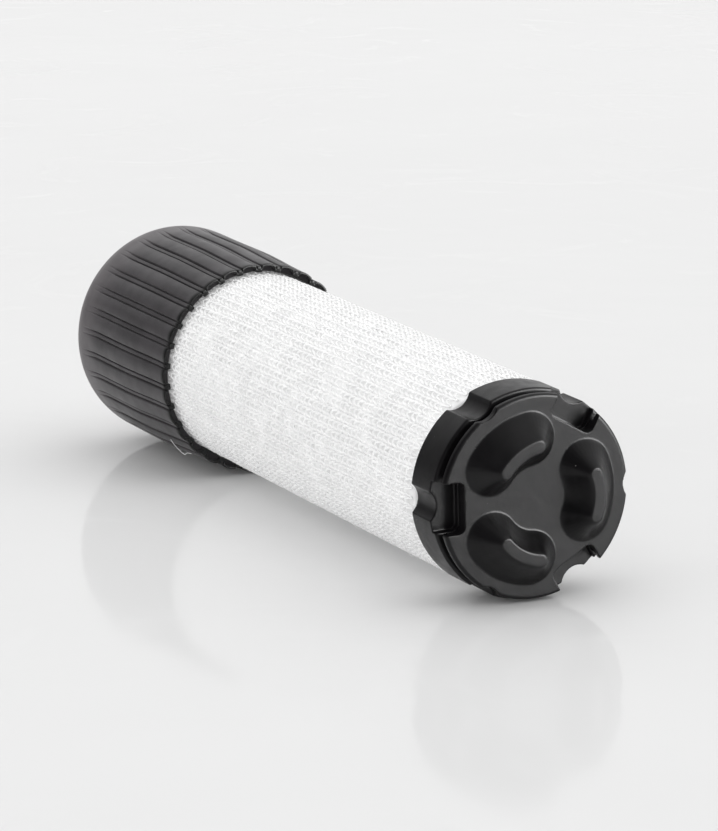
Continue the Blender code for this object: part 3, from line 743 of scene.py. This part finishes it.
# ---- sleeve and fleece ---------------------------------------------------------------------------------
LOOP_POINTS = 8                 # points along one loop of the net
TAPE_SIDES = 6                  # sides of a bundle's oval section
STITCH_WAVES = 40               # finest unevenness, in waves round the sleeve
KNIT_SEEDS = (11, 12), (13, 14), 15, 16
FLEECES = (("fleece_wrap", "prefilter_fleece", "outer_cage", 21),
           ("core_fleece", "fines_fleece", "core_tube", 31))      # piece, packed piece, what it lies on, seed
FELT_COLUMNS, FELT_ROWS, BORE_ROWS = 240, 180, 12
FOAM_COLUMNS, FOAM_SEED = 160, 41
FOAM_EDGE = 0.6 * MM


def tape_rows(paths, half_width, half_thickness, sides):
    """Closed tapes of oval section along closed paths, an array of (path, point, 3)."""
    ahead = np.roll(paths, -1, axis=1) - np.roll(paths, 1, axis=1)
    ahead /= np.linalg.norm(ahead, axis=2, keepdims=True)
    out = paths * (0.0, 1.0, 1.0)
    side = np.cross(ahead, out)
    side /= np.linalg.norm(side, axis=2, keepdims=True)
    up = np.cross(side, ahead)
    angle = np.arange(sides) * FULL / sides
    ring = (side[:, :, None, :] * np.cos(angle)[:, None] * half_width[:, :, None, None]
            + up[:, :, None, :] * np.sin(angle)[:, None] * half_thickness)
    points = paths[:, :, None, :] + ring
    one = grid_faces(paths.shape[1], sides, wrap_rows=True)
    starts = np.arange(paths.shape[0]) * paths.shape[1] * sides
    return points.reshape(-1, 3), (one[None] + starts[:, None, None]).reshape(-1, 4)


class FILTER_OT_knit_sleeve(bpy.types.Operator):
    """Knitted tube of clear filament, stitch by stitch"""

    bl_idname = "filter.knit_sleeve"
    bl_label = "Knitted Sleeve"

    def execute(self, context):
        knit = context.scene.filter_sleeve
        rows, stitches = knit.courses, knit.wales
        pitch = (SLEEVE.back - SLEEVE.front) / (rows + 0.5)
        row = np.arange(rows)[:, None]
        step = np.arange(stitches * LOOP_POINTS)[None, :] / LOOP_POINTS
        t = FULL * step
        middle = SLEEVE.outer - knit.filament - knit.crimp
        along = SLEEVE.front + pitch * (row + 0.75) + knit.reach * pitch * (np.cos(t) - 0.14 * np.cos(3 * t))
        angle = FULL / stitches * (step + knit.lean * (np.sin(t) + 0.4 * np.sin(2 * t)) / 2)
        radius = middle + knit.crimp * np.cos(t)
        stray = knit.unevenness
        along_seeds, angle_seeds, radius_seed, width_seed = KNIT_SEEDS
        along = along + stray * (waves(along_seeds[0], along, angle, STITCH_WAVES)
                                 + waves(along_seeds[1], along, angle, 9)) / 2
        angle = angle + stray * (waves(angle_seeds[0], along, angle, STITCH_WAVES)
                                 + 1.5 * waves(angle_seeds[1], along, angle, 6)) / 2 / middle
        radius = radius + 0.25 * stray * np.clip(waves(radius_seed, along, angle, 30), -1.5, 1.2)
        radius = np.minimum(radius, SLEEVE.outer + 0.5 * knit.filament)
        width = knit.foot_width + (knit.head_width - knit.foot_width) * (0.5 + 0.5 * np.cos(t))
        width = width * (1.0 + 0.2 * np.clip(waves(width_seed, along, angle, STITCH_WAVES), -1.5, 1.5))
        paths = around(along, radius, angle)
        made = mesh_object("knit_sleeve", *tape_rows(paths, width, knit.filament, TAPE_SIDES))
        finish_piece(made, "clear_filament", "cartridge", ["net_sleeve"])
        return {"FINISHED"}


def felt_tube(name, place, raised, bumps, seed):
    """A tube of felt: uneven and a little raised outside, smooth inside and soft at its ends."""
    angle = (np.arange(FELT_COLUMNS) * FULL / FELT_COLUMNS)[None, :]
    depth = np.linspace(place.front, place.back, FELT_ROWS)[:, None]
    lumps = waves(seed, depth, angle, 30) + 0.7 * waves(seed + 1, depth, angle, 70, 40)
    soft_end = np.minimum(1.0, np.minimum(depth - place.front, place.back - depth) / (0.8 * MM))
    outer = place.outer + raised - bumps + bumps * np.clip(lumps, -1.6, 1.6) / 1.6
    outer = outer - 0.3 * MM * (1.0 - soft_end) ** 2
    inner_depth = np.linspace(place.back, place.front, BORE_ROWS)[:, None]
    inner = np.full((BORE_ROWS, FELT_COLUMNS), place.inner)
    rings = np.concatenate([around(depth, outer, angle), around(inner_depth, inner, angle)])
    return mesh_object(name, rings, grid_faces(FELT_ROWS + BORE_ROWS, FELT_COLUMNS, wrap_rows=True))


class FILTER_OT_fleeces(bpy.types.Operator):
    """Outer fleece under the net and the fine fleece round the core"""

    bl_idname = "filter.fleeces"
    bl_label = "Fleeces"

    def execute(self, context):
        sleeve = context.scene.filter_sleeve
        for name, node, core, seed in FLEECES:
            place = span(node)
            raised = sleeve.fleece_raised if name == "fleece_wrap" else 0.0
            made = felt_tube(name, place, raised, sleeve.fleece_bumps, seed)
            finish_piece(made, "white_fleece", "cartridge", [node])
        return {"FINISHED"}


class FILTER_OT_foam_discs(bpy.types.Operator):
    """Foam discs that press the carbon together"""

    bl_idname = "filter.foam_discs"
    bl_label = "Foam Discs"

    def execute(self, context):
        for node in ("front_foam", "rear_foam"):
            place = span(node)
            rounding = FOAM_EDGE
            outline = rounded([(place.front, place.inner, rounding), (place.front, place.outer, rounding),
                               (place.back, place.outer, rounding), (place.back, place.inner, rounding)])
            angle = np.arange(FOAM_COLUMNS) * FULL / FOAM_COLUMNS
            depth, radius = np.array(outline).T
            dents = 0.08 * MM * np.clip(waves(FOAM_SEED, 6 * depth[:, None], angle[None, :], 40), -1.5, 0.0)
            rings = around(depth[:, None], radius[:, None] + dents, angle[None, :])
            made = mesh_object(node + "_disc", rings, grid_faces(len(outline), FOAM_COLUMNS, wrap_rows=True))
            finish_piece(made, "foam", "cartridge", [node])
        return {"FINISHED"}


# ---- ribbed cap ----------------------------------------------------------------------------------------
COLUMNS = np.array((0.0, 0.04, 0.075, 0.092, 0.104, 0.116, 0.13, 0.142, 0.154, 0.168, 0.185, 0.22, 0.27, 0.34,
                    0.42, 0.5))             # shares of half a rib's pitch where the cap has its columns
STRIP = 0.5                 # height of the strip in a groove's middle, as a share of the groove's depth
LAND_RISE = 0.74            # height of the land's edge
RIM_EDGE = 0.25 * MM        # rounding of the rim's outer edge
END_BLEND = 0.5 * MM        # depth over which the dome flows into the flat end
TINY = 0.02 * MM            # radius at which a turned face closes on the axis
DOME_BULGE = 2.3            # 2 is an ellipse, and more is squarer


def smooth_step(value, low, high):
    """0 below low, 1 above high, and a smooth change between them."""
    way = np.clip((value - low) / (high - low), 0.0, 1.0)
    return way * way * (3.0 - 2.0 * way)


def land(pitch_share):
    """Height over one pitch: a strip between two narrow slits, then the rib's rounded crown."""
    off = np.abs((pitch_share + 0.5) % 1.0 - 0.5)
    strip = STRIP * (1.0 - smooth_step(off, 0.078, 0.1))
    crown = 1.0 - (1.0 - LAND_RISE) * ((0.5 - np.maximum(off, 0.168)) / 0.332) ** 2
    return strip + smooth_step(off, 0.135, 0.17) * crown


def hollow(pitch_share):
    """Height of the hollow behind a rib: an arch with a narrow neck on each side."""
    off = np.abs((pitch_share + 0.5) % 1.0 - 0.5)
    way = np.clip((0.5 - off) / 0.37, 0.0, 1.0)
    return np.sqrt(1.0 - way**3.0)


class FILTER_OT_ribbed_cap(bpy.types.Operator):
    """Soft ribbed cap with a rounded end, hollow behind its ribs"""

    bl_idname = "filter.ribbed_cap"
    bl_label = "Ribbed Cap"

    def execute(self, context):
        cap = context.scene.filter_cap
        one = np.concatenate([COLUMNS, 1.0 - COLUMNS[-2:0:-1]])
        pitch_share = (np.arange(cap.ribs)[:, None] + one[None, :]).ravel()
        columns = len(pitch_share)
        angle = math.pi * 1.5 + FULL * pitch_share / cap.ribs
        shoulder = CAP.back - cap.dome
        inside_end = CAP.back - cap.end

        def outside(depth):
            """The ribs' crowns: a little narrower at the rim."""
            return CAP.outer - cap.taper * (1.0 - smooth_step(depth, CAP.front, CAP.front + cap.taper_length))

        def dip(depth):
            """How far the surface lies under the crowns, with the grooves fading out before the dome."""
            fade = 1.0 - smooth_step(depth, shoulder - 9.0 * MM, shoulder - 1.0 * MM)
            return cap.groove * (1.0 - land(pitch_share)) * fade

        rings = []
        for lean in np.linspace(0, math.pi / 2, 4):
            depth = CAP.front + RIM_EDGE * (1 - math.cos(lean))
            rings.append(around(depth, outside(depth) - dip(depth) - RIM_EDGE * (1 - math.sin(lean)), angle))
        for depth in np.linspace(CAP.front + MM, shoulder - 0.5 * MM, 26):
            rings.append(around(depth, outside(depth) - dip(depth), angle))
        last = (1.0 - (cap.flat / CAP.outer) ** DOME_BULGE) ** (1.0 / DOME_BULGE)
        for step in np.linspace(0.0, 1.0, 34)[:-1]:
            way = math.sin(step * math.pi / 2)
            radius = CAP.outer * max(0.0, 1.0 - way**DOME_BULGE) ** (1.0 / DOME_BULGE)
            depth = shoulder + cap.dome * way / last
            over = max(0.0, depth - CAP.back + END_BLEND)
            depth = min(depth, CAP.back - END_BLEND + END_BLEND * (1 - math.exp(-over / END_BLEND)))
            rings.append(around(depth, radius - dip(depth) * radius / CAP.outer, angle))
        rings.append(around(CAP.back - TINY, TINY, angle))

        socket_bore = PLUG.outer + GAP
        socket_r = socket_bore + cap.socket_wall
        socket_front = inside_end - cap.socket_length
        bore = END_CAP.outer + cap.clearance
        for depth, radius in ((inside_end, TINY), (inside_end, socket_bore), (socket_front, socket_bore),
                              (socket_front, socket_r), (inside_end, socket_r)):
            rings.append(around(depth, radius, angle))
        for way in np.linspace(1.0, 0.0, 8):
            lean = way * math.pi / 2 * 0.9
            radius = socket_r + MM + (bore - socket_r - MM) * math.cos(lean)
            rings.append(around(shoulder + (inside_end - shoulder) * math.sin(lean) * 0.98, radius, angle))
        hollow_end = shoulder - 2.0 * MM
        arch = CAP.outer - cap.wall - bore
        flared = outside(CAP.front) - cap.rim_wall - bore
        web_front = CAP.front + cap.web_depth
        web_back = web_front + cap.web
        step = 0.05 * MM
        for depth in (*np.linspace(hollow_end, CAP.front + cap.flare, 8), web_back + step, web_back,
                      web_front, web_front - step, *np.linspace(web_front - 2 * step, CAP.front, 5)):
            way = smooth_step(CAP.front + cap.flare - depth, 0.0, cap.flare)
            rise = 0.0 if web_front <= depth <= web_back else arch + (flared - arch) * way
            skin = outside(depth) - dip(depth) - cap.rim_wall
            lip = bore - cap.lip * smooth_step(CAP.front + 4.0 * MM - depth, 0.0, 3.0 * MM)
            rings.append(around(depth, np.minimum(lip + rise * hollow(pitch_share), skin), angle))
        rings = np.array(rings)
        made = mesh_object("ribbed_cap_shell", rings, grid_faces(len(rings), columns, wrap_rows=True))
        clean(made)
        finish_piece(made, "black_rubber", "grip_cap", ["ribbed_cap"])
        return {"FINISHED"}


# ---- hard parts at the outlet --------------------------------------------------------------------------
def o_ring(name, node, body):
    """A smooth O-ring in place of a packed one."""
    place = span(node)
    wire = (place.outer - place.inner) / 2
    middle = ((place.front + place.back) / 2, (place.outer + place.inner) / 2)
    made = turned(name, arc(middle, wire, 0.0, FULL * 23 / 24, 23), 128)
    return finish_piece(made, "seal_rubber", body, [node])


class FILTER_OT_outlet_parts(bpy.types.Operator):
    """Rear end cap with its spigot, and the O-rings of the spigot and of the front plate"""

    bl_idname = "filter.outlet_parts"
    bl_label = "Outlet Parts"

    def execute(self, context):
        outlet = context.scene.filter_outlet
        socket = END_CAP.outer - outlet.socket_wall
        floor = span("core_tube").back + GAP
        back = floor + outlet.floor
        bore = span("valve_seat").outer + GAP
        spigot = WASHER.outer + GAP - outlet.plug_clearance
        soft = 0.35 * MM
        outline = [(END_CAP.front, socket, soft), (END_CAP.front, END_CAP.outer, soft),
                   (back, END_CAP.outer, 0.7 * MM), (back, spigot, 0.0)]
        for node in ("spigot_o_ring_front", "spigot_o_ring_rear"):
            place = span(node)
            middle = (place.front + place.back) / 2
            half = (place.outer - place.inner + outlet.ring_play) / 2
            bottom = place.inner - outlet.ring_play
            outline += [(middle - half, spigot, 0.12 * MM), (middle - half, bottom, 0.0),
                        (middle + half, bottom, 0.0), (middle + half, spigot, 0.12 * MM)]
        outline += [(END_CAP.back, spigot, soft), (END_CAP.back, bore, soft), (floor, bore, 0.0),
                    (floor, socket, 0.0)]
        made = turned("rear_end_cap_moulding", rounded(outline), 160)
        finish_piece(made, "white_plastic", "cartridge", ["rear_end_cap"])
        o_ring("spigot_ring_front", "spigot_o_ring_front", "cartridge")
        o_ring("spigot_ring_rear", "spigot_o_ring_rear", "cartridge")
        o_ring("plate_ring", "plate_o_ring", "cartridge")
        return {"FINISHED"}


class FILTER_OT_cap_plug(bpy.types.Operator):
    """Hard plug in the ribbed cap, and the washer that closes the outlet"""

    bl_idname = "filter.cap_plug"
    bl_label = "Cap Plug"

    def execute(self, context):
        outlet = context.scene.filter_outlet
        bore = WASHER.outer + GAP
        floor = WASHER.back + GAP
        soft = 0.4 * MM
        outline = rounded([(floor, TINY, 0.0), (floor, bore, 0.0), (PLUG.front, bore, soft),
                           (PLUG.front, PLUG.outer, soft), (PLUG.back, PLUG.outer, soft),
                           (PLUG.back, TINY, 0.0)])
        made = turned("cap_plug_moulding", outline, 128)
        finish_piece(made, "white_plastic", "grip_cap", ["cap_plug"])
        lip = outlet.washer_lip
        outline = rounded([(WASHER.front, TINY, 0.0), (WASHER.front, WASHER.outer, lip),
                           (WASHER.back, WASHER.outer, lip), (WASHER.back, TINY, 0.0)])
        made = turned("outlet_washer_disc", outline, 128)
        finish_piece(made, "seal_rubber", "outlet_washer", ["cap_seal"])
        return {"FINISHED"}


class FILTER_OT_inner_finishes(bpy.types.Operator):
    """Material of every packed piece that shows as it is"""

    bl_idname = "filter.inner_finishes"
    bl_label = "Inner Finishes"

    def execute(self, context):
        slots = {part["node"]: part["material_slot"] for part in frame["record"]["subparts"]}
        for name, node in frame["nodes"].items():
            if not node.hide_render:
                node.data.materials.clear()
                node.data.materials.append(finish_named(slots[name]))
        return {"FINISHED"}


# ---- loose fibres --------------------------------------------------------------------------------------
LINT, LINT_SEED = 46, 5
LINT_RADIUS, CURL_RADIUS = 0.035 * MM, 0.06 * MM


class FILTER_OT_stray_fibres(bpy.types.Operator):
    """Short loose fibres: a long curl on the cap's rim and fine lint on the sleeve"""

    bl_idname = "filter.stray_fibres"
    bl_label = "Stray Fibres"

    def execute(self, context):
        draw = np.random.default_rng(LINT_SEED)
        steps = np.linspace(0.0, 1.0, 14)
        paths = []
        for _ in range(LINT):
            length = draw.uniform(1.6, 4.2) * MM
            depth = draw.uniform(SLEEVE.front + length, CAP.front - length)
            start, heading = draw.uniform(0.0, FULL), draw.uniform(0.0, FULL)
            lift = draw.uniform(0.1, 0.5) * MM * np.sin(math.pi * steps)
            bend = draw.uniform(-1.2, 1.2) * steps**2
            along = depth + length * steps * np.cos(heading + bend)
            angle = start + length * steps * np.sin(heading + bend) / SLEEVE.outer
            paths.append(around(along, SLEEVE.outer + 0.02 * MM + lift, angle))
        made = mesh_object("sleeve_lint", *open_tubes(paths, LINT_RADIUS, 5))
        finish_piece(made, "clear_filament", "cartridge")

        curl = FULL * 0.615 + 0.16 * steps + 0.05 * np.sin(5.0 * steps)
        along = CAP.front + 7.5 * MM * (1.0 - steps) ** 1.3 + 0.5 * MM * np.sin(9.0 * steps)
        radius = CAP.outer + 0.1 * MM + 0.9 * MM * np.sin(math.pi * steps)
        made = mesh_object("cap_fibre", *open_tubes([around(along, radius, curl)], CURL_RADIUS, 6))
        finish_piece(made, "clear_filament", "grip_cap")
        return {"FINISHED"}


def open_tubes(paths, radius, sides):
    """Thin tubes along open paths, closed at both ends."""
    points, faces = [], []
    angle = np.arange(sides) * FULL / sides
    for path in paths:
        ahead = np.gradient(path, axis=0)
        ahead /= np.linalg.norm(ahead, axis=1, keepdims=True)
        side = np.cross(ahead, path * (0.0, 1.0, 1.0))
        side /= np.linalg.norm(side, axis=1, keepdims=True)
        up = np.cross(side, ahead)
        ring = side[:, None] * np.cos(angle)[:, None] + up[:, None] * np.sin(angle)[:, None]
        start = sum(len(p) for p in points)
        points.append((path[:, None] + ring * radius).reshape(-1, 3))
        faces += [[start + k for k in face] for face in grid_faces(len(path), sides).tolist()]
        faces.append([start + k for k in range(sides)])
        faces.append([start + (len(path) - 1) * sides + k for k in reversed(range(sides))])
    return np.concatenate(points), faces


# ---- stage ---------------------------------------------------------------------------------------------
class FILTER_OT_stage(bpy.types.Operator):
    """Camera, pale glossy table, soft lights and the room's glow"""

    bl_idname = "filter.stage"
    bl_label = "Stage"

    def execute(self, context):
        stage = context.scene.filter_stage
        self.camera(context, stage)
        self.table(context, stage)
        self.glow(context, stage)
        self.lamps(context, stage)
        context.scene.view_settings.view_transform = "Standard"
        context.scene.view_settings.look = "None"
        return {"FINISHED"}

    def camera(self, context, stage):
        """A long lens on the plate's side, looking down a little."""
        lens = bpy.data.cameras.new("camera")
        lens.sensor_fit = "HORIZONTAL"
        lens.sensor_width = 36.0
        lens.lens = stage.lens
        lens.clip_start, lens.clip_end = 0.01, 20.0
        camera = bpy.data.objects.new("camera", lens)
        context.scene.collection.objects.link(camera)
        camera.location = AXES.translation + Vector(stage.eye)
        camera.rotation_euler = (math.pi / 2 - stage.dip, 0.0, stage.heading)
        context.scene.camera = camera

    def table(self, context, stage):
        """A pale lacquered table top."""
        half = stage.table
        corners = [(-half, -half, 0.0), (half, -half, 0.0), (half, half, 0.0), (-half, half, 0.0)]
        mesh = bpy.data.meshes.new("table")
        mesh.from_pydata(corners, [], [(0, 1, 2, 3)])
        table = bpy.data.objects.new("table", mesh)
        context.scene.collection.objects.link(table)
        table.location = (0.0, 0.0, CAD_BOX[0].z - 0.02 * MM)
        top = Finish("table_lacquer", context.scene.filter_finish.floor, 0.1, IOR=1.12,
                     Emission_Color=(1.0, 1.0, 1.0, 1.0), Emission_Strength=stage.table_glow)
        top.shades(top.noise(60.0 * MM, detail=2.0), 0.995, 1.005)
        top.relief((top.noise(14.0 * MM, detail=1.0), 0.02 * MM))
        smudges = top.remap(top.noise(45.0 * MM, detail=5.0, distortion=1.5), 0.52, 0.72, 0.08, 0.24)
        top.links.new(smudges, top.shader.inputs["Roughness"])
        mesh.materials.append(top.material)

    def glow(self, context, stage):
        """Light from all round: brighter from above and one side, dark from the other."""
        world = bpy.data.worlds.new("room")
        world.use_nodes = True
        nodes, links = world.node_tree.nodes, world.node_tree.links
        direction = nodes.new("ShaderNodeTexCoord").outputs["Generated"]
        facing = nodes.new("ShaderNodeVectorMath")
        facing.operation = "DOT_PRODUCT"
        facing.inputs[1].default_value = Vector((-0.25, 0.85, 0.45)).normalized()
        links.new(direction, facing.inputs[0])
        level = nodes.new("ShaderNodeMapRange")
        level.interpolation_type = "SMOOTHSTEP"
        for socket, value in zip(("From Min", "From Max", "To Min", "To Max"),
                                 (-0.35, 0.6, stage.dark, stage.bright)):
            level.inputs[socket].default_value = value
        links.new(facing.outputs["Value"], level.inputs["Value"])
        links.new(level.outputs["Result"], nodes["Background"].inputs["Strength"])
        nodes["Background"].inputs["Color"].default_value = (1.0, 1.0, 1.0, 1.0)
        context.scene.world = world


    def lamp(self, context, name, kind, place, power):
        """A lamp that shines from a place towards the middle."""
        light = bpy.data.lights.new(name, kind)
        light.energy = power
        made = bpy.data.objects.new(name, light)
        context.scene.collection.objects.link(made)
        made.location = place
        made.rotation_euler = Vector(place).to_track_quat("Z", "Y").to_euler()
        return made

    def lamps(self, context, stage):
        """Wide fills that leave no reflection, and a soft box that is only seen in reflections."""
        for name, place, power in (("side_fill", (0.3, -0.95, 0.2), stage.side_fill),
                                   ("top_fill", (-0.1, 0.1, 1.0), stage.top_fill)):
            fill = self.lamp(context, name, "SUN", place, power)
            fill.data.angle = math.radians(100.0)
            fill.visible_glossy = False
        key = self.lamp(context, "key", "AREA", (1.15, 0.95, 0.35), stage.key)
        key.data.size = 0.9
        key.rotation_euler = (key.location - AXES.translation).to_track_quat("Z", "Y").to_euler()
        key.visible_diffuse = False


class FILTER_PT_panel(bpy.types.Panel):
    """Sizes, colours and the steps that build the cartridge"""

    bl_idname = "FILTER_PT_panel"
    bl_label = "Filter Cartridge"
    bl_space_type = "VIEW_3D"
    bl_region_type = "UI"
    bl_category = "Filter"

    def draw(self, context):
        layout = self.layout
        for name, group in SETTINGS.items():
            box = layout.box()
            box.label(text=group.__doc__)
            for entry in group.__annotations__:
                box.prop(getattr(context.scene, name), entry)
        for step in STEPS:
            layout.operator(step.bl_idname)


SETTINGS = {"filter_front": FrontSettings, "filter_sleeve": SleeveSettings, "filter_cap": CapSettings,
            "filter_outlet": OutletSettings, "filter_finish": FinishSettings, "filter_stage": StageSettings}
STEPS = (FILTER_OT_stage, FILTER_OT_front_plate, FILTER_OT_front_collar, FILTER_OT_fleeces,
         FILTER_OT_knit_sleeve, FILTER_OT_foam_discs, FILTER_OT_ribbed_cap, FILTER_OT_outlet_parts,
         FILTER_OT_cap_plug, FILTER_OT_stray_fibres, FILTER_OT_inner_finishes)


def register():
    for group in (*SETTINGS.values(), *STEPS, FILTER_PT_panel):
        bpy.utils.register_class(group)
    for name, group in SETTINGS.items():
        setattr(bpy.types.Scene, name, PointerProperty(type=group))


def unregister():
    for name in SETTINGS:
        delattr(bpy.types.Scene, name)
    for group in reversed((*SETTINGS.values(), *STEPS, FILTER_PT_panel)):
        bpy.utils.unregister_class(group)


def clear_default_scene():
    """Removes the startup file's own cube, lamp and camera."""
    for name in ("Cube", "Light", "Camera"):
        if name in bpy.data.objects:
            bpy.data.objects.remove(bpy.data.objects[name])


def main():
    clear_default_scene()
    register()
    bpy.ops.filter.stage()
    bpy.ops.filter.front_plate()
    bpy.ops.filter.front_collar()
    bpy.ops.filter.fleeces()
    bpy.ops.filter.knit_sleeve()
    bpy.ops.filter.foam_discs()
    bpy.ops.filter.ribbed_cap()
    bpy.ops.filter.outlet_parts()
    bpy.ops.filter.cap_plug()
    bpy.ops.filter.stray_fibres()
    bpy.ops.filter.inner_finishes()


if __name__ == "__main__":
    main()
